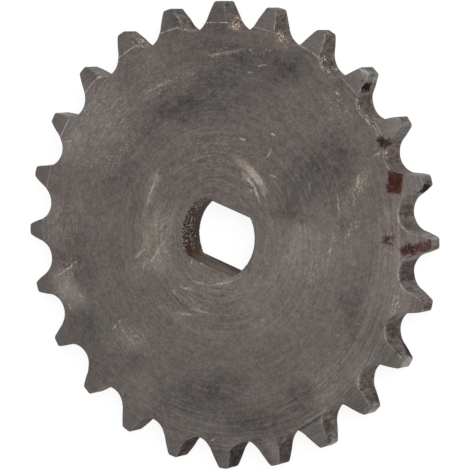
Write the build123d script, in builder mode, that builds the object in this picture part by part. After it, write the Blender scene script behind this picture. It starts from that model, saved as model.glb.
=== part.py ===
from build123d import *
import os
from math import acos, atan2, degrees, radians, sin, tan

# Plate sprocket for 5/8 in roller chain, cut from one steel plate: 24 hobbed teeth and a double-D bore.
# Frame: Z is the sprocket's axis, the back face lies on Z = 0, and the flats of the bore are parallel to X.

# --- chain ---
chain_pitch = 15.875
roller_diameter = 10.16

# --- toothed plate ---
tooth_count = 24
plate_thickness = 9.1
tip_allowance = 1.12
tip_corner_radius = 0.5

# --- side bevels, turned on the teeth from the front and from the back ---
bevel_angle = 15.0
front_bevel_width = 5.95
back_bevel_width = 7.45

# --- double-D bore ---
bore_diameter = 23.0
bore_across_flats = 17.0
bore_corner_radius = 1.0

# --- turn from the X axis to the centre of the nearest tooth gap ---
gap_turn = -2.8

# --- broken edges, and how far the cutters run out past the teeth ---
edge_break = 0.25
cutter_overrun = 1.0

# --- standard tooth form (ISO 606, narrowest gap) ---
seat_radius_per_roller = 0.505
flank_radius_per_roller = 0.12 * (tooth_count + 2)
seat_angle = 140.0 - 90.0 / tooth_count
lowest_tip_height = chain_pitch * (1 - 1.6 / tooth_count)

# Circles of the plate
pitch_radius = chain_pitch / (2 * sin(radians(180 / tooth_count)))
root_radius = pitch_radius - roller_diameter / 2
tip_radius = root_radius + (lowest_tip_height + tip_allowance) / 2
cutter_radius = tip_radius + cutter_overrun

# A tooth gap along X: the roller's seat, and the centre of the tooth flank that runs on from its end
seat_radius = seat_radius_per_roller * roller_diameter
flank_radius = flank_radius_per_roller * roller_diameter
seat_centre = Vector(root_radius + seat_radius, 0)
flank_centre = seat_centre + Vector(seat_radius + flank_radius, 0).rotate(Axis.Z, 180 - seat_angle / 2)

# The flank is tangent to the seat and runs out as far as the cutter does, by the law of cosines
flank_start = -seat_angle / 2
centre_distance = flank_centre.length
run_out = acos(
    (centre_distance**2 + flank_radius**2 - cutter_radius**2) / (2 * centre_distance * flank_radius)
)
flank_sweep = degrees(atan2(flank_centre.Y, flank_centre.X) + run_out) - 180 - flank_start

with BuildSketch() as tooth_gap:
    with BuildLine():
        CenterArc(seat_centre, seat_radius, start_angle=180, arc_size=-seat_angle / 2)
        flank = CenterArc(flank_centre, flank_radius, start_angle=flank_start, arc_size=flank_sweep)
        Line(flank @ 1, ((flank @ 1).X, 0))
        mirror(about=Plane.XZ)
    make_face()


with BuildPart() as sprocket:
    # Round plate
    Cylinder(tip_radius, plate_thickness, align=(Align.CENTER, Align.CENTER, Align.MIN))

    # Tooth gaps, with the tips' corners rounded
    with BuildSketch():
        with PolarLocations(0, tooth_count, start_angle=gap_turn):
            add(tooth_gap.sketch)
    extrude(amount=plate_thickness, mode=Mode.SUBTRACT)
    tip_edges = sprocket.edges().filter_by(Axis.Z).group_by(lambda edge: edge.center().length)[-1]
    fillet(tip_edges, tip_corner_radius)

    # Double-D bore
    with BuildSketch() as bore:
        Circle(bore_diameter / 2)
        Rectangle(bore_diameter, bore_across_flats, mode=Mode.INTERSECT)
        fillet(bore.vertices(), bore_corner_radius)
    extrude(amount=plate_thickness, mode=Mode.SUBTRACT)

    # Edges broken round the tooth gaps and the bore, on both faces
    chamfer(sprocket.faces().filter_by(Axis.Z).edges(), edge_break)

    # Side bevels: rings of triangular section, one from each face
    with BuildSketch(Plane.XZ):
        for face_height, bevel_width, inward in (
            (plate_thickness, front_bevel_width, -1),
            (0, back_bevel_width, 1),
        ):
            depth = (bevel_width + cutter_overrun) * tan(radians(bevel_angle))
            Polygon(
                (tip_radius - bevel_width, face_height),
                (cutter_radius, face_height),
                (cutter_radius, face_height + inward * depth),
                align=None,
            )
    revolve(axis=Axis.Z, mode=Mode.SUBTRACT)

sprocket.part.label = "sprocket"

os.makedirs("parts", exist_ok=True)
export_step(sprocket.part, "parts/sprocket.step")
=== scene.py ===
from collections import namedtuple
from math import atan2, cos, degrees, pi, radians, sin, sqrt, tan

import bpy
import numpy as np
from mathutils import Matrix, Vector


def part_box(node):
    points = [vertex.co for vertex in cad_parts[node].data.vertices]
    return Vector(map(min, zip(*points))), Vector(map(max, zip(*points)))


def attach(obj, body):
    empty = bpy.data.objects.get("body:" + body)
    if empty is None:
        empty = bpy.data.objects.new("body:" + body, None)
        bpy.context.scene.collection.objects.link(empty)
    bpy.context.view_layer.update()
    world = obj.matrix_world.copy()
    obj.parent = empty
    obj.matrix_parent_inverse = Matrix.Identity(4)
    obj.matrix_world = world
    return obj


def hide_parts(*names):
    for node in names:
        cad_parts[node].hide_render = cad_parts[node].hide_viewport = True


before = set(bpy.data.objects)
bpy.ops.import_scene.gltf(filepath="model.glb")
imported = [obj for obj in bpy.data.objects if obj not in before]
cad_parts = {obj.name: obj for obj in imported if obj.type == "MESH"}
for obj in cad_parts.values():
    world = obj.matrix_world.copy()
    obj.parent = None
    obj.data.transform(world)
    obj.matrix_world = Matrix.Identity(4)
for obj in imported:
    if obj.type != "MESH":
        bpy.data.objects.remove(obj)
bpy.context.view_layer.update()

MM = 0.001
SEED = 24

# --- the sprocket in millimetres, with the same sizes as its solid ---
TOOTH_COUNT = 24
CHAIN_PITCH = 15.875
ROLLER_DIAMETER = 10.16
TIP_ALLOWANCE = 1.12
BEVEL_SLOPE = tan(radians(15))
FRONT_BEVEL_WIDTH = 5.95
BACK_BEVEL_WIDTH = 7.45
BORE_RADIUS = 11.5
BORE_HALF_FLATS = 8.5
BORE_CORNER_RADIUS = 1.0
GAP_TURN = radians(-2.8)
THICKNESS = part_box("sprocket")[1].z / MM

# --- the tooth form of ISO 606 with its minimum gap, then where the bevels begin ---
HALF_PITCH = pi / TOOTH_COUNT
PITCH_RADIUS = CHAIN_PITCH / (2 * sin(HALF_PITCH))
ROOT_RADIUS = PITCH_RADIUS - ROLLER_DIAMETER / 2
TIP_RADIUS = ROOT_RADIUS + (CHAIN_PITCH * (1 - 1.6 / TOOTH_COUNT) + TIP_ALLOWANCE) / 2
SEAT_RADIUS = 0.505 * ROLLER_DIAMETER
FLANK_RADIUS = 0.12 * ROLLER_DIAMETER * (TOOTH_COUNT + 2)
SEAT_HALF_ANGLE = radians(140 - 90 / TOOTH_COUNT) / 2
FRONT_CREASE = TIP_RADIUS - FRONT_BEVEL_WIDTH
BACK_CREASE = TIP_RADIUS - BACK_BEVEL_WIDTH

# --- how finely the skin is divided: steps along half a tooth, then across the section ---
SEAT_STEPS = 11
FLANK_STEPS = 9
CORNER_STEPS = 3
TIP_STEPS = 3
SAMPLES = TOOTH_COUNT * 2 * (SEAT_STEPS + FLANK_STEPS + CORNER_STEPS + TIP_STEPS)
WALL_RINGS = 9
BORE_RINGS = 10
FRONT_RING_RADII = np.arange(53.5, 16, -2.5)
BACK_RING_RADII = (53.5, 47, 38, 28, 19.5)
EVEN_RADIUS = 28
ROUND_ANGLES = np.radians([0, 30, 60, 90])
SUPPORT_GAP = 0.12
LEAST_GAP = 0.1
BEVEL_RINGS = (0.66, 0.33)
BORE_MARGINS = (3.0, 1.0)

# --- the tips' worn corners, and the least radius of worn edges, its unevenness and the most it can be ---
TIP_CORNER_RADIUS = 0.8
TOOTH_EDGE = (0.14, 0.07, 0.36)
BORE_EDGE = (0.16, 0.06, 0.6)

# --- nicks in the edges: how many, the deepest, the shallowest as a share of it, and widths in samples ---
NICK_COUNT = 60
DEEPEST_NICK = 0.25
SHALLOWEST_NICK = 0.3
NICK_WIDTHS = (1.5, 3)

# --- how far the chain has worn the front edges of the roots, over what depth, and round which angle ---
CHAIN_WEAR = 0.12
ROOT_DEPTH = 3
WORN_SIDE = 27
WORN_FULLY = 24
WORN_AT_ALL = 64

# --- depths of the dents in the walls: ripples along the teeth, which stop short of the tips, and others ---
RIPPLE = 0.02
RIPPLE_MARGIN = 0.6
WALL_DENTS = 0.012
BORE_DENTS = 0.05

# --- angles of the sides where the painted crease highlight shows, where it shines most, and where turning marks reach the rim ---
UPPER_SIDE = 112
SHINING_SIDE = 150
TURNED_SIDE = -30


# ------------ outlines

def polar(radius, angle):
    """Points at radii and angles from the axis."""
    return np.column_stack([radius * np.cos(angle), radius * np.sin(angle)])


def arc(centre, radius, start, end, steps):
    """Points along an arc, without its last one."""
    return centre + polar(radius, np.linspace(start, end, steps, endpoint=False))


def corner_centre(flank):
    """Centre of the round between the flank's arc and the tip circle."""
    from_flank = FLANK_RADIUS - TIP_CORNER_RADIUS
    from_axis = TIP_RADIUS - TIP_CORNER_RADIUS
    apart = np.hypot(*flank)
    along = (apart**2 + from_axis**2 - from_flank**2) / (2 * apart)
    aside = sqrt(from_axis**2 - along**2)
    toward = flank / apart
    return along * toward + aside * np.array([toward[1], -toward[0]])


def mirrored(points):
    """Points mirrored in the middle line of the tooth beside the gap on the X axis."""
    turn = 2 * HALF_PITCH
    return points @ np.array([[cos(turn), sin(turn)], [sin(turn), -cos(turn)]])


def turned(points, angle):
    """Points turned about the axis."""
    return points @ np.array([[cos(angle), sin(angle)], [-sin(angle), cos(angle)]])


def tooth_outline():
    """All the teeth: points in order round the axis, and the direction into the steel at each."""
    seat = np.array([ROOT_RADIUS + SEAT_RADIUS, 0.0])
    seat_end = pi - SEAT_HALF_ANGLE
    flank = seat + (SEAT_RADIUS + FLANK_RADIUS) * np.array([cos(seat_end), sin(seat_end)])
    corner = corner_centre(flank)
    flank_end = atan2(corner[1] - flank[1], corner[0] - flank[0])
    tip_start = atan2(corner[1], corner[0])
    parts = (
        (seat, 1, arc(seat, SEAT_RADIUS, pi, seat_end, SEAT_STEPS)),
        (flank, -1, arc(flank, FLANK_RADIUS, seat_end - pi, flank_end, FLANK_STEPS)),
        (corner, -1, arc(corner, TIP_CORNER_RADIUS, flank_end, tip_start, CORNER_STEPS)),
        (np.zeros(2), -1, arc(np.zeros(2), TIP_RADIUS, tip_start, HALF_PITCH, TIP_STEPS)),
    )
    points = np.vstack([part for _, _, part in parts])
    inward = np.vstack([side * (part - centre) for centre, side, part in parts])
    inward /= np.linalg.norm(inward, axis=1)[:, None]
    middle = np.array([[cos(HALF_PITCH), sin(HALF_PITCH)]])
    pitch_points = np.vstack([points, TIP_RADIUS * middle, mirrored(points[1:])[::-1]])
    pitch_inward = np.vstack([inward, -middle, mirrored(inward[1:])[::-1]])
    turns = [GAP_TURN + tooth * 2 * HALF_PITCH for tooth in range(TOOTH_COUNT)]
    return (
        np.vstack([turned(pitch_points, turn) for turn in turns]),
        np.vstack([turned(pitch_inward, turn) for turn in turns]),
    )


def bore_outline():
    """The double-D bore: points in order round the axis, and the direction into the steel at each."""
    aside = BORE_HALF_FLATS - BORE_CORNER_RADIUS
    corner = np.array([sqrt((BORE_RADIUS - BORE_CORNER_RADIUS) ** 2 - aside**2), aside])
    angles = GAP_TURN + np.linspace(0, 2 * pi, SAMPLES, endpoint=False)
    rays = polar(1, angles)
    folded = np.abs(rays)
    on_circle = folded[:, 1] * corner[0] < folded[:, 0] * corner[1]
    on_flat = folded[:, 0] * BORE_HALF_FLATS < folded[:, 1] * corner[0]
    along = folded @ corner
    reach = along + np.sqrt(np.maximum(along**2 - corner @ corner + BORE_CORNER_RADIUS**2, 0))
    reach[on_circle] = BORE_RADIUS
    reach[on_flat] = BORE_HALF_FLATS / folded[on_flat, 1]
    points = rays * reach[:, None]
    ahead = np.roll(points, -1, axis=0) - np.roll(points, 1, axis=0)
    inward = np.column_stack([ahead[:, 1], -ahead[:, 0]])
    return points, inward / np.linalg.norm(inward, axis=1)[:, None]


# ------------ wear in the shape

def smooth_noise(rng, shape, lengths):
    """Noise that closes on itself, with the given feature length in samples along each direction."""
    spectrum = np.fft.fftn(rng.normal(size=shape))
    fall = 1.0
    for axis, length in enumerate(lengths):
        waves = np.fft.fftfreq(shape[axis]) * length * pi
        fall = fall * np.exp(-(waves**2) / 2).reshape([-1 if k == axis else 1 for k in range(len(shape))])
    noise = np.fft.ifftn(spectrum * fall).real
    return noise / noise.std()


def nicks(rng):
    """Small dents at random places along an edge, as a depth at each sample."""
    depth = np.zeros(SAMPLES)
    for _ in range(NICK_COUNT):
        place = rng.integers(SAMPLES)
        away = np.abs((np.arange(SAMPLES) - place + SAMPLES // 2) % SAMPLES - SAMPLES // 2)
        deepest = rng.uniform(SHALLOWEST_NICK, 1.0) * DEEPEST_NICK
        width = rng.uniform(*NICK_WIDTHS)
        depth = np.maximum(depth, deepest * np.exp(-((away / width) ** 2)))
    return depth


def edge_radius(rng, least, uneven, most):
    """Radius of a worn edge at each sample."""
    worn = least + uneven * np.abs(smooth_noise(rng, (SAMPLES,), lengths=(6,)))
    return np.minimum(worn + nicks(rng), most)


def chain_wear(teeth):
    """How far the chain has worn the front edge back at each sample: most at the roots on one side."""
    radius = np.hypot(*teeth.T)
    azimuth = np.degrees(np.arctan2(teeth[:, 1], teeth[:, 0]))
    at_root = np.clip((PITCH_RADIUS - radius) / ROOT_DEPTH, 0, 1)
    on_side = np.clip((WORN_AT_ALL - np.abs(azimuth - WORN_SIDE)) / (WORN_AT_ALL - WORN_FULLY), 0, 1)
    return CHAIN_WEAR * at_root * on_side


# ------------ broad areas of the front face

Patch = namedtuple("Patch", "x y half_length half_width strength turn", defaults=(0,))

# Lighter (+) and darker (-) areas: partly patchy tone, and partly painted sheen, the light and dark fans that
# the turning marks reflect. All places and sizes of marks are in millimetres, and turns in degrees
SHEEN_AND_TONE = [Patch(*row) for row in (
    (-48, 16, 9, 12, 0.3),
    (-42, 29, 6, 3, -0.08),
    (-27, 34.5, 11, 3, 0.14, 38),
    (-16, 46, 5, 1.5, 0.12, 25),
    (-43.5, -31.5, 5, 2.8, 0.7, -45),
    (-38, -33, 3.5, 2.4, 0.35, -30),
    (-18, -37, 5, 3.5, 0.16, 20),
    (-19, -8, 5, 9, 0.32, 10),
    (-24, 5, 2.2, 5, 0.25),
    (-14, -13, 3, 4, 0.2),
    (5, -12, 9, 4, 0.2, 25),
    (-3, -13, 4, 4, 0.22),
    (-3, -24, 8, 3, 0.12, 15),
    (18, -8, 8, 10, 0.22),
    (23, -17, 12, 3, 0.12, 40),
    (24, 8, 5, 8, 0.28),
    (35, 11, 7, 7, 0.22),
    (27, 16, 4, 3, 0.15),
    (36.2, 28, 2, 6, 0.2, -10),
    (49, 14, 5, 10, 0.2),
    (57, 5, 3.5, 7, 0.35),
    (49, -21, 4, 12, 0.2, -28),
    (35.5, -48.5, 1.6, 4.5, 0.3, 35),
    (-20, 56, 6, 4, -0.25, 20),
    (-24, 28, 7, 4, -0.33, 15),
    (-15, 35, 12, 5, -0.24, 15),
    (-10, 45, 16, 5, -0.2, 18),
    (-8, 50, 12, 2, -0.22, 22),
    (7, 52, 5, 4, -0.3, 15),
    (27, 33, 6, 7, -0.27),
    (20, 24, 6, 8, -0.22),
    (20, 14, 9, 2, -0.28, 10),
    (-31, 22, 4, 6, -0.2),
    (-34, 4, 7, 8, -0.12),
    (-44, -20, 5, 7, -0.2, 20),
    (-33, -40, 6, 4, -0.25, 20),
    (-28, -48, 8, 5, -0.14),
    (10, -44, 11, 5, -0.3, 15),
    (16, -36, 6, 3, -0.22, 15),
    (27, -45, 8, 4, -0.16, 20),
    (46, -5, 6, 5, -0.15),
    (41, -1.5, 1.8, 2, -0.25),
    (35.5, 16.5, 3, 2.5, -0.25),
    (-54.5, 6, 4, 4.5, 0.35),
    (-52, -16, 3, 6, 0.25, 20),
    (-45, -10, 3, 6, 0.12, 10),
    (-14, 0.5, 3, 4, 0.15),
    (-22, -20, 4, 4, 0.12),
    (28, 1, 8, 9, 0.1),
    (47, 24, 2.2, 7, 0.2, -15),
    (46, 5, 2.2, 11, -0.14, -8),
    (33, -9, 8, 12, 0.06),
    (5, -27, 9, 5, 0.08),
    (-10, -49, 4, 5, 0.12),
    (-30, 53, 4, 4, -0.2),
    (-14, 51, 7, 3, -0.12, 15),
    (3, 47, 3, 5, -0.14),
    (24, 52, 3, 4, -0.14),
    (31, 24, 2.2, 5, -0.12, -10),
    (31, -42, 10, 4, -0.2, 25),
    (-14, -43, 4, 3, -0.15, 20),
    (-46, -28, 4, 4, -0.15),
    (-37, -30, 4, 5, 0.1),
    (-36, 38, 3, 3, 0.15),
    (42, -6, 3, 7, 0.12),
    (40, -22, 4, 7, 0.1, -20),
    (-31, 33, 3, 3, -0.15),
    (-24, 48, 4, 4, -0.15),
    (-2, -51, 4, 3, -0.14),
    (32, -52, 4, 3, -0.12),
    (-30, -17, 5, 4, -0.1),
    (27, 58, 3, 3, 0.15),
    (61, 6.5, 3.5, 4, -0.2),
    (60, -11, 4, 4, -0.15),
    (54.5, -26, 4, 4, -0.2),
    (51, 0, 3, 8, 0.18),
    (4, 55.5, 3, 3, 0.2),
    (-33, 50, 3, 4, -0.2),
    (-52, 28, 4, 3.5, -0.25),
    (-5, -22, 3, 2.5, -0.15),
    (15, 8, 4, 7, 0.16),
    (32, 9, 3, 8, 0.12),
    (-34, 25, 3, 6, 0.16, -35),
    (-6.5, -15.5, 6, 3, 0.16),
    (-15, -38, 4, 2.5, 0.16, 15),
    (53, 14.5, 2.5, 5, 0.2),
    (53, -17, 3, 4, 0.25),
    (38.5, -31, 4.5, 4.5, -0.25),
    (17.6, -55.5, 3, 4, -0.2),
    (-47, -19.5, 2.5, 4, 0.2),
    (-37, -27, 3, 5, -0.22),
    (43, 47.5, 4, 3, 0.2),
)]

# Where the brown turns grey, and where it looks olive
GREY = [Patch(*row) for row in (
    (-8, 42, 17, 9, 1, 15),
    (6, 51, 12, 4, 0.8, 15),
    (-12, 31, 12, 5, 1, 15),
    (-9, 19, 5, 9, 0.9, -10),
    (20, 24, 5, 8, 1),
    (15, 3, 5, 12, 0.8),
    (36, 10, 9, 6, 0.8),
    (49, 11, 4, 7, 0.7),
    (20, -4, 10, 8, 0.8),
    (32, -18, 14, 12, 1, 20),
    (48, -22, 5, 14, 1, -28),
    (0, -48, 36, 11, 1),
    (-16, -27, 14, 4, 0.9, 5),
    (-31, -39, 8, 6, 1),
    (0, -13, 12, 4, 0.8, 20),
    (5, -36, 14, 5, 0.8, 10),
    (40, 46.5, 6, 4, 1.2, 50),
    (53, 36, 5, 3, 0.8, 35),
    (59, -11, 5, 5, 1),
    (53, -26, 6, 5, 1.2, -25),
    (56, -18, 5, 4, 1),
    (45, -39, 5, 5, 1, -40),
    (-55, 14, 6, 10, 0.9),
    (-57, -20, 4, 4, 0.8),
    (-45, -39, 9, 5, 0.9, -45),
    (27, 57, 5, 4, 0.9),
    (2, 62, 24, 5, 0.8),
    (-38, 50, 8, 6, 0.7, 35),
    (41, -46, 6, 4, 1, -40),
    (22, -58, 20, 6, 1, 15),
)]
OLIVE = [Patch(*row) for row in (
    (-27, -10, 9, 8, 0.52, 20),
    (-19, -9, 4, 8, 0.6, 10),
    (-24, 4, 2.5, 6, 0.45),
    (-43, -5, 8, 3.5, 0.34),
    (25, 5, 5, 6, 0.38, 20),
    (35, 27, 2.5, 9, 0.68, -8),
    (39.5, 20, 4, 4, 0.52),
    (32, 2, 4, 4, 0.3),
    (33, 38, 3, 4, 0.3),
    (-35, 36.5, 3, 1.5, 0.38, 20),
)]

# Areas with many short pale marks
RUBBED = [Patch(*row) for row in (
    (-46, 16, 11, 13, 0.32),
    (-40, 30, 9, 8, 0.12),
    (-10, 22, 9, 5, 0.16, 20),
    (-18, -8, 4.5, 8, 0.4, 10),
    (-43, -27, 3, 4, 0.45, -20),
    (-42, -32.5, 5, 2.5, 0.45, -20),
    (-18, -37, 5, 3, 0.4, 20),
    (-50, -15, 6, 6, 0.25),
    (-3, -21, 9, 4, 0.16, 20),
    (4, -12, 7, 2.5, 0.25, 30),
    (23.5, 11.5, 2, 1.5, 0.5),
    (24, 6, 3, 6, 0.2),
    (31, 2, 2.5, 4, 0.35),
    (51, 18, 3.5, 12, 0.15, 15),
    (23, 45, 6, 4, 0.2),
    (46, -20, 5, 12, 0.1, -28),
)]


def spread(points, marks, soft):
    """The strength of each of several soft ellipses at the points: one row for each ellipse."""
    rows = []
    for mark in marks:
        away = turned(points - (mark.x, mark.y), radians(-mark.turn)) / (mark.half_length, mark.half_width)
        share = np.clip((1 + soft - np.hypot(*away.T)) / (2 * soft), 0, 1)
        rows.append(mark.strength * share**2 * (3 - 2 * share))
    return np.array(rows)


# ------------ the skin, ring by ring

Ring = namedtuple("Ring", "points height front bevel wall bore", defaults=(0.0, 0.0, 0.0))


def front_height(radius):
    """Height of the front face, bevel included."""
    return THICKNESS - BEVEL_SLOPE * np.maximum(radius - FRONT_CREASE, 0)


def back_height(radius):
    """Height of the back face, bevel included."""
    return BEVEL_SLOPE * np.maximum(radius - BACK_CREASE, 0)


def rounding(points, inward, radius, height, down, front, bore=0.0):
    """A worn edge: rings from the wall over to the face."""
    rings = []
    for angle in ROUND_ANGLES:
        moved = points + inward * (radius * (1 - cos(angle)))[:, None]
        level = height(np.hypot(*moved.T)) + down * radius * (1 - sin(angle))
        wall = 0.0 if bore else cos(angle) ** 2
        rings.append(Ring(moved, level, front, 0.0, wall, bore * cos(angle)))
    return rings


def face(teeth, teeth_inward, teeth_edge, bore, bore_inward, bore_edge, crease, radii, height, front):
    """A side of the plate: rings from the teeth in to the bore, each at its radius and angle."""
    rim = teeth + teeth_inward * (teeth_edge + SUPPORT_GAP)[:, None]
    rim_radius = np.hypot(*rim.T)
    rim_angle = np.unwrap(np.arctan2(rim[:, 1], rim[:, 0]))
    even_angle = GAP_TURN + np.linspace(0, 2 * pi, SAMPLES, endpoint=False)
    wanted = [rim_radius]
    wanted += [crease + (rim_radius - crease) * share for share in BEVEL_RINGS]
    wanted += [np.full(SAMPLES, crease + away) for away in (SUPPORT_GAP, -SUPPORT_GAP)]
    rings = []
    last = rim_radius + LEAST_GAP
    for radius in wanted:
        last = np.minimum(radius, last - LEAST_GAP)
        spot = polar(last, rim_angle)
        bevel = np.clip((last - crease) / SUPPORT_GAP, 0, 1)
        rings.append(Ring(spot, height(last), front, bevel))
    for radius in radii:
        even = np.clip((radii[0] - radius) / (radii[0] - EVEN_RADIUS), 0, 1)
        angle = rim_angle + (even_angle - rim_angle) * even
        spot = polar(radius, angle)
        rings.append(Ring(spot, height(np.full(SAMPLES, radius)), front))
    for margin in BORE_MARGINS:
        spot = bore + bore_inward * margin
        rings.append(Ring(spot, height(np.hypot(*spot.T)), front))
    spot = bore + bore_inward * (bore_edge + SUPPORT_GAP)[:, None]
    rings.append(Ring(spot, height(np.hypot(*spot.T)), front))
    return rings


def walls(points, inward, low, high, dents, count, bore):
    """Rings up a wall, between its two worn edges, sunk by the dents."""
    rings = []
    for row in range(count):
        share = (row + 1) / (count + 1)
        sunk = points + inward * dents[row][:, None]
        rings.append(Ring(sunk, low + (high - low) * share, 0.0, 0.0, 1.0 - bore, bore))
    return rings


def skin_rings():
    """The whole closed skin: front face, bore, back face and teeth."""
    rng = np.random.default_rng(SEED)
    teeth, teeth_in = tooth_outline()
    bore, bore_in = bore_outline()
    front_edge = edge_radius(rng, *TOOTH_EDGE) + chain_wear(teeth)
    back_edge = edge_radius(rng, *TOOTH_EDGE)
    bore_front_edge = edge_radius(rng, *BORE_EDGE)
    bore_back_edge = edge_radius(rng, *BORE_EDGE)

    tooth_radius = np.hypot(*teeth.T)
    ripple = RIPPLE * np.abs(smooth_noise(rng, (SAMPLES,), lengths=(1.5,)))
    ripple = ripple * np.clip(TIP_RADIUS - RIPPLE_MARGIN - tooth_radius, 0, 1)
    wall_dents = ripple + WALL_DENTS * np.abs(smooth_noise(rng, (WALL_RINGS, SAMPLES), lengths=(3, 3)))
    bore_dents = BORE_DENTS * np.abs(smooth_noise(rng, (BORE_RINGS, SAMPLES), lengths=(1.2, 6)))

    front = face(teeth, teeth_in, front_edge, bore, bore_in, bore_front_edge,
                 FRONT_CREASE, FRONT_RING_RADII, front_height, 1.0)
    back = face(teeth, teeth_in, back_edge, bore, bore_in, bore_back_edge,
                BACK_CREASE, BACK_RING_RADII, back_height, 0.0)
    bore_low = back_height(np.zeros(SAMPLES)) + bore_back_edge
    bore_high = front_height(np.zeros(SAMPLES)) - bore_front_edge
    tooth_low = back_height(tooth_radius) + back_edge
    tooth_high = front_height(tooth_radius) - front_edge
    return (
        rounding(teeth, teeth_in, front_edge, front_height, -1, 1.0)
        + front
        + rounding(bore, bore_in, bore_front_edge, front_height, -1, 1.0, 1.0)[::-1]
        + walls(bore, bore_in, bore_low, bore_high, bore_dents, BORE_RINGS, 1.0)[::-1]
        + rounding(bore, bore_in, bore_back_edge, back_height, 1, 0.0, 1.0)
        + back[::-1]
        + rounding(teeth, teeth_in, back_edge, back_height, 1, 0.0)[::-1]
        + walls(teeth, teeth_in, tooth_low, tooth_high, wall_dents, WALL_RINGS, 0.0)
    )


def new_object(name, data):
    """An object added to the scene."""
    made = bpy.data.objects.new(name, data)
    bpy.context.scene.collection.objects.link(made)
    return made


def sprocket_skin():
    """One closed mesh for the sprocket, with its regions as attributes for the material."""
    rings = skin_rings()
    rows = len(rings)
    points = np.concatenate([np.column_stack([ring.points, ring.height]) for ring in rings]) * MM
    here = np.arange(SAMPLES)
    after = (here + 1) % SAMPLES
    faces = []
    for row in range(rows):
        near = row * SAMPLES
        far = (row + 1) % rows * SAMPLES
        faces.append(np.column_stack([near + here, near + after, far + after, far + here]))
    mesh = bpy.data.meshes.new("sprocket_skin")
    mesh.from_pydata(points.tolist(), [], np.concatenate(faces).tolist())
    plan = points[:, :2] / MM
    layers = {
        "cloud": spread(plan, SHEEN_AND_TONE, soft=0.6).sum(axis=0),
        "grey": spread(plan, GREY, soft=0.7).max(axis=0),
        "olive": spread(plan, OLIVE, soft=0.7).max(axis=0),
        "rubbed": spread(plan, RUBBED, soft=0.5).max(axis=0),
    }
    for name in ("front", "bevel", "wall", "bore"):
        layers[name] = np.concatenate([np.broadcast_to(getattr(ring, name), SAMPLES) for ring in rings])
    for name, values in layers.items():
        layer = mesh.attributes.new(name, "FLOAT", "POINT")
        layer.data.foreach_set("value", values.astype(np.float32))
    mesh.polygons.foreach_set("use_smooth", np.ones(len(mesh.polygons), bool))
    mesh.update()
    return new_object("sprocket_skin", mesh)


# ------------ shader graph

def srgb(red, green, blue):
    """A colour given on the 0 to 255 screen scale, as Blender's linear values."""
    values = [channel / 255 for channel in (red, green, blue)]
    linear = [v / 12.92 if v <= 0.04045 else ((v + 0.055) / 1.055) ** 2.4 for v in values]
    return (*linear, 1.0)


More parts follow.
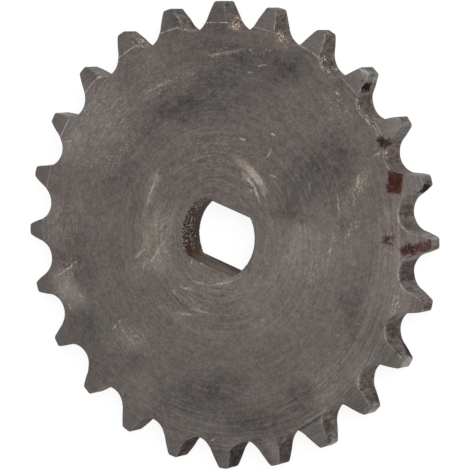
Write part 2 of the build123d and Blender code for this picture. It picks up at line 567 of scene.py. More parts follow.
class Graph:
    """Adds nodes to one node tree. Each call gives the new node's output."""

    def __init__(self, tree):
        self.tree = tree
        tree.nodes.clear()

    def node(self, kind, inputs=None, **settings):
        made = self.tree.nodes.new(kind)
        for name, value in settings.items():
            setattr(made, name, value)
        for name, value in (inputs or {}).items():
            self.feed(made.inputs[name], value)
        return made

    def feed(self, socket, value):
        if isinstance(value, bpy.types.NodeSocket):
            self.tree.links.new(value, socket)
        else:
            socket.default_value = value

    def math(self, operation, a, b=0.0):
        return self.node("ShaderNodeMath", {0: a, 1: b}, operation=operation).outputs[0]

    def vector(self, operation, a, b=(0, 0, 0)):
        made = self.node("ShaderNodeVectorMath", {0: a, 1: b}, operation=operation)
        return made.outputs["Value" if operation in ("LENGTH", "DOT_PRODUCT", "DISTANCE") else "Vector"]

    def scaled(self, a, factor):
        return self.node("ShaderNodeVectorMath", {0: a, "Scale": factor}, operation="SCALE").outputs[0]

    def xyz(self, x=0.0, y=0.0, z=0.0):
        return self.node("ShaderNodeCombineXYZ", {0: x, 1: y, 2: z}).outputs[0]

    def step(self, value, low, high, strength=1.0):
        """0 below low, full strength above high and smooth between; high below low turns it round."""
        made = self.node("ShaderNodeMapRange", {0: value, 1: low, 2: high, 4: strength},
                         interpolation_type="SMOOTHSTEP")
        return made.outputs[0]

    def remap(self, value, low, high, to_low, to_high):
        return self.node("ShaderNodeMapRange", {0: value, 1: low, 2: high, 3: to_low, 4: to_high}).outputs[0]

    def noise(self, place, scale, detail=2.0, roughness=0.5):
        made = self.node("ShaderNodeTexNoise", {"Vector": place, "Scale": scale, "Detail": detail,
                                                "Roughness": roughness}, noise_dimensions="3D")
        return made.outputs["Fac"]

    def balanced(self, place, scale, detail=2.0, roughness=0.5):
        """Noise that is about 0 on average."""
        return self.math("SUBTRACT", self.noise(place, scale, detail, roughness), 0.5)

    def mix(self, factor, a, b, blend="MIX"):
        made = self.node("ShaderNodeMix", data_type="RGBA", blend_type=blend)
        for socket, value in zip((made.inputs[0], made.inputs[6], made.inputs[7]), (factor, a, b)):
            self.feed(socket, value)
        return made.outputs[2]

    def attribute(self, name):
        return self.node("ShaderNodeAttribute", attribute_name=name).outputs["Fac"]

    def about(self, place, centre, radii):
        """The place seen from a centre, with each axis measured in radii. A radius of None drops its axis."""
        shrink = Vector([1 / radius if radius else 0 for radius in radii])
        shift = Vector([-middle * scale for middle, scale in zip(centre, shrink)])
        made = self.node("ShaderNodeVectorMath", {0: place, 1: shrink, 2: shift}, operation="MULTIPLY_ADD")
        return made.outputs[0]

    def turned_about(self, place, centre, turn):
        """The place turned back by an angle in degrees round a centre."""
        made = self.node("ShaderNodeVectorRotate", {"Vector": place, "Center": (*centre, 0),
                                                    "Angle": radians(-turn)}, rotation_type="Z_AXIS")
        return made.outputs[0]

    def blob(self, place, centre, radii, turn, soft, strength):
        """Full strength inside an ellipse and 0 outside it, with a soft rim."""
        away = self.about(self.turned_about(place, centre, turn), (*centre, 0), (*radii, None))
        return self.step(self.vector("LENGTH", away), 1 + soft, 1 - soft, strength)

    def box(self, place, mark, soft):
        """1 inside a rectangle and 0 outside it, with a soft rim."""
        centre = (mark.x, mark.y)
        away = self.vector("SUBTRACT", self.turned_about(place, centre, mark.turn), (*centre, 0))
        away = self.node("ShaderNodeSeparateXYZ", {0: self.vector("ABSOLUTE", away)})
        halves = (mark.half_length, mark.half_width)
        inside = [self.step(away.outputs[axis], half + soft, half - soft) for axis, half in enumerate(halves)]
        return self.product(*inside)

    def spot(self, place, mark, core):
        """1 in the core of a round mark, which is a share of its radius, and 0 outside the mark."""
        return self.step(self.vector("DISTANCE", place, mark.place), mark.radius, mark.radius * core)

    def gathered(self, operation, values):
        """Several values taken together one by one, as each is made."""
        values = iter(values)
        total = next(values)
        for value in values:
            total = self.math(operation, total, value)
        return total

    def heaviest(self, masks):
        """The largest of several masks at each point."""
        return self.gathered("MAXIMUM", masks)

    def total(self, *values):
        """The sum of several values."""
        return self.gathered("ADD", values)

    def product(self, *values):
        """Several values multiplied together."""
        return self.gathered("MULTIPLY", values)


# ------------ marks on the steel

Scratch = namedtuple("Scratch", "from_x from_y to_x to_y width strength")
WallPatch = namedtuple("WallPatch", "gap along height half_length half_height strength")
Pit = namedtuple("Pit", "place radius")

# Narrow areas of fine pale specks
SPECKLED = [Patch(*row) for row in (
    (-28, 34.2, 9, 2.2, 0.34, 38),
    (-24, 5, 1.8, 5, 0.35),
    (-14, 48, 6, 1.4, 0.38, 25),
    (-5, 51.5, 5, 0.9, 0.35, 22),
    (36, 27.5, 1.4, 5.5, 0.7, -12),
    (33.6, 14, 0.9, 8, 0.45),
    (38, 17, 1.2, 4, 0.5, -15),
    (56.7, 3, 1.2, 3, 0.9, 15),
    (34.8, 45, 1.1, 4, 0.8, 40),
    (-43, -32.5, 4, 1.9, 0.5, -35),
    (4.6, 17, 3.6, 1.1, 0.7, -35),
)]

# Scuffed bare: single pale lines. Those along the edges and tips near (-27, 50), (-50, 28), (26.5, 57.5) and
# (52 to 60, 23.5) are painted highlights
SCUFFS_AND_HIGHLIGHTS = [Scratch(*row) for row in (
    (-0.9, 21.9, 3.9, 20.6, 2.2, 0.3),
    (2.6, 21.1, 8.2, 18.4, 2, 0.62),
    (7.6, 18.8, 10, 15.9, 1.5, 0.3),
    (2.4, 19, 6.4, 16.8, 0.8, 0.5),
    (5.8, 17.3, 8.9, 14, 0.6, 0.55),
    (-23.8, 8.2, -24.4, 1.6, 0.54, 0.48),
    (-15.5, -7, -16.6, -9.6, 0.41, 0.32),
    (-16.6, -9.6, -18, -14.8, 0.61, 0.36),
    (-21.4, -12.4, -22.8, -14.8, 0.68, 0.4),
    (-20, -15.5, -19.5, -17.5, 0.47, 0.36),
    (-18.5, -5, -16.8, -2.5, 0.41, 0.28),
    (2, -13.5, 8, -9.8, 0.47, 0.36),
    (-3, -14.5, 0.5, -13.8, 0.54, 0.36),
    (-6, -17.3, -3.2, -16.9, 0.54, 0.52),
    (-9.2, -19.6, -7, -20, 0.54, 0.36),
    (-2, -22, 4, -20.7, 0.41, 0.32),
    (-6, -25, -1, -23.4, 0.54, 0.32),
    (-18.5, 45.3, -15.2, 47.2, 0.6, 0.28),
    (-14, 48, -10, 50, 0.5, 0.3),
    (-3.2, 48.1, -1.2, 48.9, 0.5, 0.4),
    (-5.4, 45.4, -4, 46, 0.34, 0.48),
    (-34.4, 28.9, -28.4, 34.6, 0.34, 0.34),
    (-44, 17.5, -44.6, 9, 0.34, 0.24),
    (-55.5, 6.5, -54, 7.5, 0.54, 0.32),
    (-46.6, -30.4, -43.8, -27.6, 0.4, 0.4),
    (-43.9, -27.8, -41.9, -25, 0.6, 0.5),
    (-41.6, -24.2, -41.2, -23.8, 0.41, 0.4),
    (-37, -32, -36, -32.4, 0.68, 0.44),
    (-39.6, -36.3, -38.4, -37, 0.61, 0.48),
    (-23.4, -36.9, -22.9, -35.4, 0.47, 0.52),
    (-22.3, -34.4, -22.1, -33.9, 0.41, 0.48),
    (-29.4, 49.3, -24.8, 50.3, 0.45, 0.7),
    (-50.8, 27.4, -49.5, 29, 0.6, 0.8),
    (21.3, 49.7, 22.5, 49.2, 0.41, 0.76),
    (26, 45.6, 26.5, 45.9, 0.34, 0.4),
    (6.9, 32.2, 7.4, 32.4, 0.51, 0.64),
    (7, 25.9, 8.1, 27.4, 0.38, 0.52),
    (8.1, 27.4, 7.6, 28.9, 0.3, 0.4),
    (-2, 27.7, -0.7, 27.7, 0.43, 0.6),
    (10.2, 21.8, 12, 21.6, 0.38, 0.36),
    (22.1, 23.9, 22.4, 22.9, 0.43, 0.32),
    (37.6, 37.9, 38.9, 39.2, 0.51, 0.44),
    (30.8, 24.4, 33, 19.4, 0.34, 0.4),
    (33.7, 9.2, 33.9, 9.8, 0.47, 0.56),
    (35.1, 31, 35.4, 28.6, 0.61, 0.48),
    (47.5, -6.1, 48.3, -5.6, 0.32, 0.56),
    (20.3, -16.2, 20.8, -15.6, 0.41, 0.32),
    (43, -11.2, 43.4, -10.8, 0.41, 0.32),
    (16, -53.6, 17, -52.8, 0.47, 0.36),
    (55, 15.2, 55.4, 10.4, 0.32, 0.44),
    (-2.4, -9, -2.2, -8.8, 0.47, 0.48),
    (-5.6, -9.9, -5.4, -9.4, 0.47, 0.48),
    (28.3, 49.6, 29.4, 48.4, 0.5, 0.9),
    (30.2, 47.7, 31.2, 46.9, 0.45, 0.9),
    (32, 46.4, 33, 45.5, 0.45, 0.5),
    (25.3, 57.6, 27.6, 57.2, 0.8, 0.5),
    (52.4, 23.4, 55.6, 24, 0.5, 0.8),
    (55.6, 23.2, 60.2, 23.2, 0.7, 0.4),
)]

# Scored along the rim, light and dark side by side
LIGHT_SCORES = [Scratch(*row) for row in (
    (41.2, -38, 46.2, -31.6, 0.36, 0.3),
    (42, -36.6, 43.2, -35.6, 1, 0.25),
    (54.3, -13.5, 54.8, -9, 0.36, 0.25),
    (46.8, 30, 52.5, 16, 0.32, 0.15),
    (48.4, 29.4, 53.4, 15.4, 0.28, 0.15),
    (50.6, 22, 53.6, 12, 0.32, 0.15),
)]
DARK_SCORES = [Scratch(*row) for row in (
    (40.6, -39.8, 45.9, -33.2, 0.52, 0.65),
    (45.9, -33.2, 47.5, -30.5, 0.44, 0.45),
    (53.8, -14.2, 54.4, -9, 0.32, 0.45),
    (47.6, 28, 51.8, 17.5, 0.3, 0.4),
    (28, -48.6, 40.6, -39.8, 0.5, 0.35),
    (20, -50, 27, -46.5, 0.4, 0.3),
)]

# Chips of bare, golden metal on the right flanks of the upper teeth and the worn roots
CHIPS = [WallPatch(*row) for row in (
    (9, 4, 7.6, 1.1, 1.3, 0.9),
    (9, 6, 4.2, 1.7, 2.4, 0.75),
    (9, 4.4, 6, 1.2, 1.6, 0.6),
    (8, 3.5, 7.5, 0.8, 1.4, 0.9),
    (8, 3.4, 2.8, 0.5, 1.3, 0.7),
    (7, 2.6, 7.2, 1.1, 1.2, 1),
    (7, 4.1, 5.2, 1.1, 1.7, 1),
    (7, 5.5, 2.9, 1.1, 1.5, 1),
    (6, 3.2, 6.1, 1.8, 2.5, 0.85),
    (5, 4.3, 6.6, 0.7, 1.6, 1),
    (5, 1.1, 6.5, 1.5, 1.2, 0.8),
    (5, 1.5, 2.3, 1, 1, 0.8),
    (5, 3, 8.2, 1.8, 0.6, 0.8),
    (4, 1.7, 8.1, 1, 0.6, 0.9),
    (4, -1.3, 7.2, 0.7, 0.9, 0.7),
    (3, 2, 7.9, 1.2, 0.6, 1),
    (2, -5.7, 8, 0.5, 0.8, 0.9),
)]

# Wall areas: dark ones, ending below the front edge, of which those on gaps 18 and 21, on flanks that face
# down, are painted shade; and pale ones, which are painted highlights and painted light
DARK_TOP = 7.95
DARK_WALLS = [WallPatch(*row) for row in (
    (0, -1.4, 4.6, 2.8, 3.8, 0.6),
    (0, -2.2, 4.2, 1.6, 1.2, 1),
    (0, 0.2, 2.6, 1.2, 1.8, 0.7),
    (0, -9.6, 3.2, 1.2, 1.3, 1),
    (0, -7.8, 2.2, 1.7, 1, 1),
    (0, -5.4, 1.4, 2, 0.7, 0.9),
    (1, -1.4, 4.2, 1.7, 4.6, 0.9),
    (1, 0.9, 4.2, 1.7, 4.6, 0.9),
    (2, 1.2, 4.6, 1.7, 4.2, 0.75),
    (2, -4.2, 4, 1.8, 2.8, 0.6),
    (3, -1.5, 4, 3.6, 3.4, 0.35),
    (4, 2.8, 4.6, 2.2, 2.2, 0.55),
    (4, 3.6, 5.8, 1, 3, 0.45),
    (5, 1.6, 4.8, 3, 3.6, 0.5),
    (5, 7.5, 4.6, 2.4, 3.2, 0.4),
    (6, 7.2, 5.2, 2.2, 2.2, 0.25),
    (7, 8, 4.6, 2.4, 3.2, 0.25),
    (8, 6, 1.6, 2.6, 0.5, 0.8),
    (21, -8.6, 6.2, 3.6, 2.4, 1),
    (21, -8, 3, 4.4, 2.4, 0.8),
    (18, -8, 4.4, 4.2, 4.8, 0.9),
    (22, -6.2, 6.2, 2.2, 2.2, 0.45),
    (23, -8.4, 4.4, 2.6, 2.6, 0.35),
    (23, -4.6, 3.8, 1, 2.8, 0.35),
)]
# Painted highlights on flanks and edges, and painted light on the lower right walls
PAINTED_LIGHT_WALLS = [WallPatch(*row) for row in (
    (0, -12.3, 4.6, 1.9, 2.4, 0.9),
    (23, -12.3, 4.6, 2.1, 2.4, 1),
    (22, -12.3, 4.6, 2.1, 2.4, 0.9),
    (0, 3, 2.6, 1.6, 2, 0.5),
    (1, 4, 5, 1.2, 3.8, 0.5),
    (2, 8.5, 6.8, 2.6, 1.6, 0.7),
    (2, -9.5, 4.6, 2.2, 3.4, 0.8),
    (3, -9, 4.6, 2.6, 3.4, 0.7),
    (3, 9.8, 4.6, 2.4, 3, 0.4),
    (4, 9.8, 3, 1.6, 1.6, 0.9),
    (4, 10.8, 7, 2, 1.4, 0.5),
    (8, 7.8, 7.3, 2.4, 0.8, 0.45),
    (10, 4.3, 7.9, 0.8, 1.2, 1),
    (10, 7, 5, 2.6, 3, 0.5),
    (11, 8.4, 5.4, 2.6, 3, 1),
)]

# Rust on the face and on the walls
RUST_BLOCK = Patch(45.7, 33.4, 2.1, 2.9, 1, 14)
RUST = [Patch(*row) for row in (
    (39.2, 42.1, 2, 1.3, 0.9),
    (55.2, 18.2, 2.2, 1.6, 1, 30),
    (58.2, 20, 2.8, 1.2, 0.9, 30),
    (60.6, 21.8, 1.4, 1, 0.9, 30),
)]
RUST_LINES = [Scratch(*row) for row in (
    (47.8, 19.6, 50.2, 17.2, 1.1, 1),
    (48, 17.6, 49.9, 19.5, 1, 0.9),
    (47.5, 18.5, 49, 18.6, 1, 1),
    (47, -33.2, 48.8, -35.6, 1, 0.6),
    (48.8, -35.6, 50.6, -38.8, 1, 0.7),
)]
RUSTY_WALLS = [WallPatch(*row) for row in (
    (3, 4.7, 7.6, 0.7, 1.5, 1),
    (3, -5.4, 8.4, 1.5, 0.9, 0.9),
    (22, -10.1, 6.8, 1, 1.3, 0.45),
    (22, -6.3, 6.4, 1.7, 1.9, 0.4),
    (0, -9.2, 2.2, 2, 1, 0.6),
    (0, -3, 6, 0.3, 1.6, 0.7),
    (0, -1.6, 5.6, 0.3, 1.8, 0.7),
    (0, -0.2, 6, 0.3, 1.6, 0.6),
    (1, 5.2, 7.6, 1.2, 1, 0.6),
    (1, -12, 5, 0.9, 2.6, 0.6),
    (23, -7.4, 2.4, 3, 1, 0.25),
)]

# Black: tar on two teeth, and painted shade on the flanks that face down
TARRED_WALLS = [WallPatch(*row) for row in (
    (4, 7.4, 6.3, 1.45, 2.2, 1),
    (4, 6.6, 4, 0.7, 1, 1),
    (4, 6.1, 1.6, 0.5, 0.5, 1),
    (2, 9.6, 4.6, 1.9, 1.7, 1),
    (2, 10.7, 5.8, 0.9, 1.4, 1),
    (2, 8.6, 2.6, 1.4, 1.1, 1),
    (2, 8, 1.5, 0.7, 0.6, 1),
)]
TARRED_FACE = [Patch(38.9, 42.3, 1.7, 1.1, 0.45)]
SHADED_FLANKS = [WallPatch(*row) for row in (
    (20, -7.6, 4.4, 4.6, 5.2, 1),
    (19, -8, 4.4, 4.2, 5.2, 1),
)]

# Bright pits in the bore, and the stain and the dirt in its corner
BORE_PITS = [Pit(*row) for row in (
    ((-11.5, 0.2, 5.2), 0.42),
    ((-10.6, 4.4, 6.5), 0.38),
    ((-11.4, 1, 5.6), 0.28),
    ((-10.5, 4.7, 4), 0.28),
    ((-9.9, 5.8, 6.6), 0.28),
    ((-11.4, -1.4, 5.2), 0.24),
    ((-10.6, -4.5, 2.4), 0.26),
    ((-11.2, -2.6, 7.2), 0.24),
)]
BORE_STAIN = Pit((-8.9, -7.4, 6.6), 2.3)
BORE_DIRT = Pit((-7.6, -8.2, 3.4), 2.5)

TEETH_LINE = tooth_outline()[0]


def wall_place(gap, along):
    """A point on the outline of the teeth, at a distance along it from the middle of a gap."""
    half = SAMPLES // TOOTH_COUNT // 2
    stretch = TEETH_LINE[(gap * 2 * half + np.arange(-half, half + 1)) % SAMPLES]
    lengths = np.cumsum(np.hypot(*np.diff(stretch, axis=0, prepend=stretch[:1]).T))
    return [float(np.interp(along, lengths - lengths[half], stretch[:, axis])) for axis in (0, 1)]


def patches(g, place, marks, soft=0.3):
    """One mask for several ellipses on the faces."""
    return g.heaviest(g.blob(place, (mark.x, mark.y), (mark.half_length, mark.half_width), mark.turn,
                             soft, mark.strength) for mark in marks)


def scratch(g, place, mark):
    """A line that is widest in its middle."""
    start, end = Vector((mark.from_x, mark.from_y)), Vector((mark.to_x, mark.to_y))
    run = end - start
    turn = degrees(atan2(run.y, run.x))
    halves = ((run.length + mark.width) / 2, mark.width / 2)
    return g.blob(place, (start + end) / 2, halves, turn, 0.7, mark.strength)


def scratches(g, place, marks):
    """One mask for several lines on the faces."""
    return g.heaviest(scratch(g, place, mark) for mark in marks)


def wall_patch(g, place, mark, soft):
    """A patch on the wall of a tooth gap."""
    centre = (*wall_place(mark.gap, mark.along), mark.height)
    away = g.about(place, centre, (mark.half_length, mark.half_length, mark.half_height))
    return g.step(g.vector("LENGTH", away), 1 + soft, 1 - soft, mark.strength)


def wall_patches(g, place, marks, soft=0.3):
    """One mask for several patches on the walls of the tooth gaps."""
    return g.heaviest(wall_patch(g, place, mark, soft) for mark in marks)


# ------------ the finish

# --- the range over which shaken and ragged marks stray, then the painted crease highlight's half width and offset ---
SHAKEN_BY = 1.5
RAGGED_BY = 4.0
CREASE_HALF_WIDTH = 0.22
CREASE_OFFSET = 0.15

# --- colours of the steel, of its walls (with a painted highlight, and a dark colour that is also painted shade) and of the bore ---
BROWN_STEEL = srgb(100, 92, 89)
GREY_STEEL = srgb(97, 92, 88)
OLIVE_STEEL = srgb(102, 96, 86)
WALL_SHADE = srgb(76, 65, 61)
WALL_LIGHT = srgb(126, 114, 109)
DARK_WALL_AND_SHADE = srgb(50, 40, 38)
WALL_HIGHLIGHT = srgb(152, 146, 143)
GREY_TINT = srgb(243, 255, 254)
BORE_BLACK = srgb(27, 20, 17)
BORE_GRAIN = srgb(162, 143, 127)
BORE_FLAT_SHADE = srgb(40, 27, 24)
BORE_FLAT_LIGHT = srgb(108, 88, 79)
BORE_BROWN_SHADE = srgb(60, 45, 40)
BORE_BROWN_LIGHT = srgb(92, 76, 69)

# --- colours of the marks, of the dirt and of the rust, with painted highlights and the black that is also painted shade ---
DIRT_BROWN = srgb(64, 50, 32)
STAIN_RED = srgb(66, 24, 22)
BRIGHT_PIT = srgb(225, 216, 204)
DARK_SCORE = srgb(50, 45, 43)
LIGHT_SCORE = srgb(158, 152, 145)
SHORT_MARK = srgb(176, 169, 163)
SCUFF_AND_HIGHLIGHT_PALE = srgb(196, 184, 170)
CREASE_HIGHLIGHT = srgb(178, 170, 162)
EDGE_WEAR_AND_HIGHLIGHT = srgb(172, 166, 160)
CHIP_BLACK = srgb(44, 36, 30)
CHIP_METAL = srgb(232, 212, 186)
RUST_SHADE = srgb(52, 30, 24)
RUST_LIGHT = srgb(80, 48, 38)
# The black of the tar, also used as painted shade on the flanks that face down
TAR_AND_SHADE_BLACK = srgb(16, 7, 8)


class Places:
    """Where a point of the skin is, in millimetres, plain and shaken, and which region it is in."""

    def __init__(self, g):
        self.plain = g.scaled(g.node("ShaderNodeTexCoord").outputs["Object"], 1 / MM)
        flat = g.vector("MULTIPLY", self.plain, (1, 1, 0))
        self.radius = g.vector("LENGTH", flat)
        self.ray = g.vector("NORMALIZE", flat)
        self.height = g.node("ShaderNodeSeparateXYZ", {0: self.plain}).outputs["Z"]
        shake = g.node("ShaderNodeTexNoise", {"Vector": self.plain, "Scale": 0.7, "Detail": 3,
                                              "Roughness": 0.6})
        shake = g.vector("SUBTRACT", shake.outputs["Color"], (0.5, 0.5, 0.5))
        self.shaken = g.vector("ADD", self.plain, g.scaled(shake, SHAKEN_BY))
        self.ragged = g.vector("ADD", self.plain, g.scaled(shake, RAGGED_BY))
        for region in ("front", "bevel", "wall", "bore", "cloud", "grey", "olive", "rubbed"):
            setattr(self, region, g.attribute(region))


def toward(g, place, azimuth, none, full):
    """0 to 1 towards one side of the axis, between two cosines of the angle away from it."""
    side = Vector((cos(radians(azimuth)), sin(radians(azimuth)), 0))
    return g.step(g.vector("DOT_PRODUCT", place.ray, side), none, full)


class Grains:
    """The noises the finish is made of. Each is about 0 on average, but for the grit and the drift."""

    def __init__(self, g, place):
        self.specks = g.balanced(place.plain, scale=1.7, detail=3, roughness=0.7)
        self.mottle = g.balanced(place.plain, scale=0.6, detail=4, roughness=0.7)
        self.strokes = self.around_the_axis(g, place, turns=20, rows=2.5)
        inside = g.remap(place.radius, 18, 48, 1, 0.3)
        outside = g.product(g.step(place.radius, 40, 52), toward(g, place, TURNED_SIDE, 0, 0.7))
        turning = self.around_the_axis(g, place, turns=2.5, rows=1.7)
        self.turning = g.product(turning, g.heaviest([inside, outside]))
        self.grit = g.noise(place.plain, scale=2, detail=3, roughness=0.7)
        drift = g.noise(place.plain, scale=0.22, detail=4, roughness=0.65)
        self.drift = g.remap(drift, 0.25, 0.75, 0.4, 1.6)

    @staticmethod
    def around_the_axis(g, place, turns, rows):
        """Noise drawn out round the axis: more turns give shorter marks, more rows give finer ones."""
        across = g.xyz(z=g.product(place.radius, rows))
        return g.balanced(g.vector("ADD", g.scaled(place.ray, turns), across), scale=1)


def tarnish(g, place):
    """The steel's own colour: brown, grey in large areas and olive in a few."""
    ragged = g.product(g.balanced(place.plain, scale=0.16, detail=4, roughness=0.6), 2)
    greying = g.step(g.total(g.product(place.grey, place.front), ragged), 0, 1.1)
    colour = g.mix(greying, BROWN_STEEL, GREY_STEEL)
    return g.mix(g.product(place.olive, place.front), colour, OLIVE_STEEL)


def unevenness(g, place, grains):
    """How much lighter or darker than its colour the steel is at each point, about 1, with the painted sheen
    of the broad areas.
    """
    grain = g.total(
        g.product(grains.specks, 1.1),
        grains.mottle,
        g.product(grains.strokes, 0.22),
        g.product(grains.turning, 0.7),
    )
    return g.total(
        g.product(grain, g.remap(place.bevel, 0, 1, 1, 0.6)),
        # Broad areas on the front face: patchy tone and painted sheen
        g.product(place.cloud, grains.drift, place.front),
        1,
    )


def short_marks(g, place, grains):
    """Many short pale marks round the axis, thick where the face is rubbed and thin elsewhere."""
    marks = g.total(g.product(grains.strokes, 0.45), g.product(grains.turning, 0.5), grains.grit)
    marks = g.step(marks, 0.5, 0.7)
    rubbed = g.total(g.heaviest([place.rubbed, patches(g, place.shaken, SPECKLED, soft=0.5)]), 0.1)
    return g.product(marks, rubbed, place.front)


def crease_highlight(g, place, grains):
    """A painted highlight: the bright dotted line along the crease of the front bevel, strongest on the upper
    teeth.
    """
    away = g.math("ABSOLUTE", g.math("SUBTRACT", place.radius, FRONT_CREASE + CREASE_OFFSET))
    line = g.step(away, CREASE_HALF_WIDTH, 0.04)
    broken = g.step(grains.mottle, -0.16, 0.02)
    on_side = g.total(
        g.product(toward(g, place, UPPER_SIDE, 0.3, 0.6), 0.28),
        g.product(toward(g, place, SHINING_SIDE, 0.5, 0.85), 0.4),
        0.1,
    )
    return g.product(line, broken, place.front, on_side)


def worn_edge_and_highlight(g, place, grains):
    """The paler line along the front edge of the walls: partly rubbed wear, partly a painted edge highlight.
    """
    across = g.product(place.wall, g.math("SUBTRACT", 1, place.wall))
    return g.product(across, g.step(grains.mottle, -0.12, 0.1), place.front)


def wall_colour(g, place, grains):
    """The walls of the tooth gaps: streaks across the thickness, dark in places with painted shade where
    flanks face down, and pale in places with painted highlights and painted light.
    """
    streaks = g.noise(g.vector("MULTIPLY", place.plain, (1.6, 1.6, 0.3)), scale=1, detail=3, roughness=0.65)
    blots = g.noise(place.plain, scale=0.55, detail=3, roughness=0.65)
    colour = g.mix(g.step(g.total(streaks, blots), 0.74, 1.26), WALL_SHADE, WALL_LIGHT)
    dark = wall_patches(g, place.shaken, DARK_WALLS, soft=0.25)
    dark = g.product(dark, g.remap(streaks, 0.35, 0.62, 1, 0.6))
    below_edge = g.step(g.total(place.height, grains.mottle), DARK_TOP + 0.2, DARK_TOP - 0.2)
    # Darker wall areas below the front edge; on gaps 18 and 21, where the flanks face down, this is painted
    # shade
    colour = g.mix(g.product(dark, below_edge), colour, DARK_WALL_AND_SHADE)
    # Painted highlights and painted light on the walls
    pale = g.product(wall_patches(g, place.shaken, PAINTED_LIGHT_WALLS), g.step(grains.strokes, -0.2, 0.1))
    return g.mix(place.grey, g.mix(pale, colour, WALL_HIGHLIGHT), GREY_TINT, "MULTIPLY")


def bore_colour(g, place, grains):
    """The bore: pitted and nearly black over its front part, smoother and brown behind and on its flats."""
    pitted = g.step(g.noise(place.plain, scale=1.8, roughness=0.7), 0.49, 0.66)
    rough = g.mix(pitted, BORE_BLACK, BORE_GRAIN)
    along_flat = g.node("ShaderNodeVectorRotate", {"Vector": place.plain, "Angle": -GAP_TURN},
                        rotation_type="Z_AXIS").outputs[0]
    lines = g.noise(g.vector("MULTIPLY", along_flat, (0.1, 1, 1.6)), scale=1)
    smooth = g.mix(g.step(lines, 0.42, 0.6), BORE_FLAT_SHADE, BORE_FLAT_LIGHT)
    off_centre = g.math("ABSOLUTE", g.node("ShaderNodeSeparateXYZ", {0: along_flat}).outputs["Y"])
    is_flat = g.step(off_centre, BORE_HALF_FLATS - 0.9, BORE_HALF_FLATS - 0.3)
    behind = g.step(g.total(place.height, g.product(grains.mottle, 3)), 4, 2.8)
    brown = g.mix(pitted, BORE_BROWN_SHADE, BORE_BROWN_LIGHT)
    colour = g.mix(is_flat, g.mix(behind, rough, brown), smooth)
    for mark, tint in ((BORE_DIRT, DIRT_BROWN), (BORE_STAIN, STAIN_RED)):
        stain = g.spot(place.shaken, mark, core=0.5)
        colour = g.mix(g.product(stain, g.remap(pitted, 0, 1, 0.95, 0.6)), colour, tint)
    return g.mix(g.heaviest(g.spot(place.plain, pit, core=0.3) for pit in BORE_PITS), colour, BRIGHT_PIT)


def rust_mask(g, place, grains):
    """Where there is rust, on the face and on the walls."""
    on_face = g.heaviest([
        g.box(place.shaken, RUST_BLOCK, soft=0.35),
        g.product(patches(g, place.ragged, RUST), g.step(grains.grit, 0.36, 0.46)),
        g.product(scratches(g, place.ragged, RUST_LINES), g.step(grains.grit, 0.34, 0.42)),
    ])
    on_walls = g.product(wall_patches(g, place.shaken, RUSTY_WALLS), g.step(grains.grit, 0.36, 0.5))
    return g.heaviest([g.product(on_face, place.front), g.product(on_walls, place.wall)])


def black_mask(g, place, grains):
    """Where there is tar, on the face and on the walls, and the painted shade that makes the flanks facing
    down black.
    """
    tar = g.heaviest([wall_patches(g, place.ragged, TARRED_WALLS, soft=0.2),
                      g.product(patches(g, place.ragged, TARRED_FACE), place.front)])
    tar = g.product(tar, g.step(grains.grit, 0.3, 0.35))
    # Painted shade: the flanks that face down are made black
    flank_shade = g.product(wall_patches(g, place.shaken, SHADED_FLANKS, soft=0.15), place.wall)
    return g.heaviest([tar, g.product(flank_shade, g.remap(grains.mottle, -0.15, 0.15, 0.8, 0.3))])


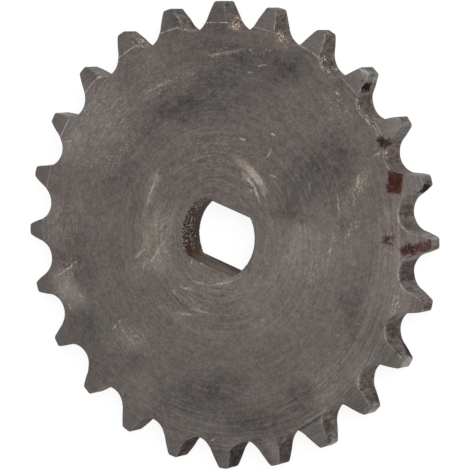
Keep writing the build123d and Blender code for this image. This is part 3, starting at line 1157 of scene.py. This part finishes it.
def steel():
    """The whole sprocket's finish, with its regions read from the skin."""
    material = bpy.data.materials.new("dark_steel")
    material.use_nodes = True
    g = Graph(material.node_tree)
    place = Places(g)
    grains = Grains(g, place)

    colour = tarnish(g, place)
    colour = g.mix(place.wall, colour, wall_colour(g, place, grains))
    brightness = unevenness(g, place, grains)
    colour = g.mix(1, colour, g.xyz(brightness, brightness, brightness), "MULTIPLY")
    colour = g.mix(place.bore, colour, bore_colour(g, place, grains))

    # Dark scores, then everything that is paler than the tarnish
    colour = g.mix(g.product(scratches(g, place.plain, DARK_SCORES), place.front), colour, DARK_SCORE)
    colour = g.mix(g.product(scratches(g, place.plain, LIGHT_SCORES), place.front), colour, LIGHT_SCORE)
    colour = g.mix(short_marks(g, place, grains), colour, SHORT_MARK)
    broken = g.step(g.total(grains.grit, grains.strokes), 0.34, 0.56)
    # Scuffs, with a few painted highlights on edges and tips among them
    scuffs_and_highlights = g.product(scratches(g, place.shaken, SCUFFS_AND_HIGHLIGHTS), place.front)
    colour = g.mix(g.product(scuffs_and_highlights, g.remap(broken, 0, 1, 0.45, 1)), colour, SCUFF_AND_HIGHLIGHT_PALE)
    # Painted highlight along the crease of the front bevel
    colour = g.mix(crease_highlight(g, place, grains), colour, CREASE_HIGHLIGHT)
    # Paler front edges of the walls: rubbed wear and a painted edge highlight
    colour = g.mix(worn_edge_and_highlight(g, place, grains), colour, EDGE_WEAR_AND_HIGHLIGHT)

    # Chips: bright metal with black between
    chipped = wall_patches(g, place.shaken, CHIPS, soft=0.4)
    colour = g.mix(g.product(chipped, g.step(grains.grit, 0.5, 0.42)), colour, CHIP_BLACK)
    colour = g.mix(g.product(chipped, g.step(grains.grit, 0.51, 0.57)), colour, CHIP_METAL)

    # Rust, tar and the painted shade of the flanks facing down lie over all of it
    rust = rust_mask(g, place, grains)
    colour = g.mix(rust, colour, g.mix(g.step(grains.mottle, -0.08, 0.1), RUST_SHADE, RUST_LIGHT))
    black = black_mask(g, place, grains)
    colour = g.mix(black, colour, TAR_AND_SHADE_BLACK)

    height = g.total(grains.specks, g.product(grains.strokes, 0.8))
    bump = g.node("ShaderNodeBump", {"Strength": 0.6, "Distance": 0.02 * MM, "Height": height})
    dull = g.heaviest([rust, black])
    roughness = g.total(g.remap(grains.grit, 0.3, 0.7, 0.62, 0.5), g.product(dull, 0.3))
    shader = g.node("ShaderNodeBsdfPrincipled", {
        "Base Color": colour, "Metallic": g.remap(dull, 0, 1, 0.45, 0), "Roughness": roughness,
        "Specular IOR Level": 0.1, "Normal": bump.outputs[0]})
    g.node("ShaderNodeOutputMaterial", {0: shader.outputs[0]})
    return material


# ------------ the sprocket

skin = sprocket_skin()
skin.data.materials.append(steel())
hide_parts("sprocket")
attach(skin, "root")


# ------------ studio

AMBIENT = 0.45
FLOOR_COLOUR = (0.2, 0.2, 0.2, 1)
FLOOR_GLOW = 0.86
FLOOR_SIZE = 4.0
KEY_LIGHT = {"azimuth": 45, "elevation": 48, "distance": 1.2, "size": 0.9, "power": 12}


def seen_directly(g):
    """1 for rays that look directly, in a mirror or through glass, and 0 for diffuse light."""
    path = g.node("ShaderNodeLightPath")
    return g.heaviest(path.outputs["Is %s Ray" % kind] for kind in ("Camera", "Glossy", "Transmission"))


def white_world():
    """A white surround that lights the object more softly than it looks."""
    world = bpy.data.worlds.new("white_surround")
    world.use_nodes = True
    bpy.context.scene.world = world
    g = Graph(world.node_tree)
    strength = g.remap(seen_directly(g), 0, 1, AMBIENT, 1.0)
    background = g.node("ShaderNodeBackground", {"Color": (1, 1, 1, 1), "Strength": strength})
    g.node("ShaderNodeOutputWorld", {0: background.outputs[0]})


def white_floor():
    """A floor that looks white and still takes a soft shadow."""
    material = bpy.data.materials.new("white_floor")
    material.use_nodes = True
    g = Graph(material.node_tree)
    matt = g.node("ShaderNodeBsdfDiffuse", {"Color": FLOOR_COLOUR})
    glow = g.node("ShaderNodeEmission", {"Color": (1, 1, 1, 1),
                                         "Strength": g.product(seen_directly(g), FLOOR_GLOW)})
    both = g.node("ShaderNodeAddShader", {0: matt.outputs[0], 1: glow.outputs[0]})
    g.node("ShaderNodeOutputMaterial", {0: both.outputs[0]})
    mesh = bpy.data.meshes.new("floor")
    half = FLOOR_SIZE / 2
    corners = [(-half, -half, 0), (half, -half, 0), (half, half, 0), (-half, half, 0)]
    mesh.from_pydata(corners, [], [(0, 1, 2, 3)])
    mesh.materials.append(material)
    floor = new_object("floor", mesh)


def direction(azimuth, elevation):
    """Unit vector at an azimuth from X, in degrees, and an elevation above the floor."""
    azimuth, elevation = radians(azimuth), radians(elevation)
    return Vector((cos(azimuth) * cos(elevation), sin(azimuth) * cos(elevation), sin(elevation)))


def soft_light(name, azimuth, elevation, distance, size, power):
    """A square soft box aimed at the object."""
    light = bpy.data.lights.new(name, "AREA")
    light.size = size
    light.energy = power
    lamp = new_object(name, light)
    away = direction(azimuth, elevation)
    lamp.location = away * distance
    lamp.rotation_mode = "QUATERNION"
    lamp.rotation_quaternion = away.to_track_quat("Z", "Y")


CAMERA_AZIMUTH = 28.26
CAMERA_ELEVATION = 58.23
CAMERA_ROLL = -97.815
CAMERA_DISTANCE = 741.57 * MM
CAMERA_ASIDE = 2.251 * MM
CAMERA_ABOVE = 0.152 * MM
LENS = 208.51
SENSOR_WIDTH = 36


def camera():
    """The camera at the viewing angle, looking past the sprocket's middle by a small offset."""
    back = direction(CAMERA_AZIMUTH, CAMERA_ELEVATION)
    level = Vector((0, 0, 1)).cross(back).normalized()
    upright = back.cross(level)
    roll = radians(CAMERA_ROLL)
    right = level * cos(roll) + upright * sin(roll)
    up = upright * cos(roll) - level * sin(roll)
    middle = Vector((0, 0, THICKNESS / 2 * MM))
    data = bpy.data.cameras.new("camera")
    data.lens = LENS
    data.sensor_width = SENSOR_WIDTH
    eye = new_object("camera", data)
    turn = Matrix((right, up, back)).transposed().to_4x4()
    place = middle + right * CAMERA_ASIDE + up * CAMERA_ABOVE + back * CAMERA_DISTANCE
    eye.matrix_world = Matrix.Translation(place) @ turn
    bpy.context.scene.camera = eye


white_world()
white_floor()
soft_light("key", **KEY_LIGHT)
camera()
bpy.context.scene.view_settings.view_transform = "Standard"
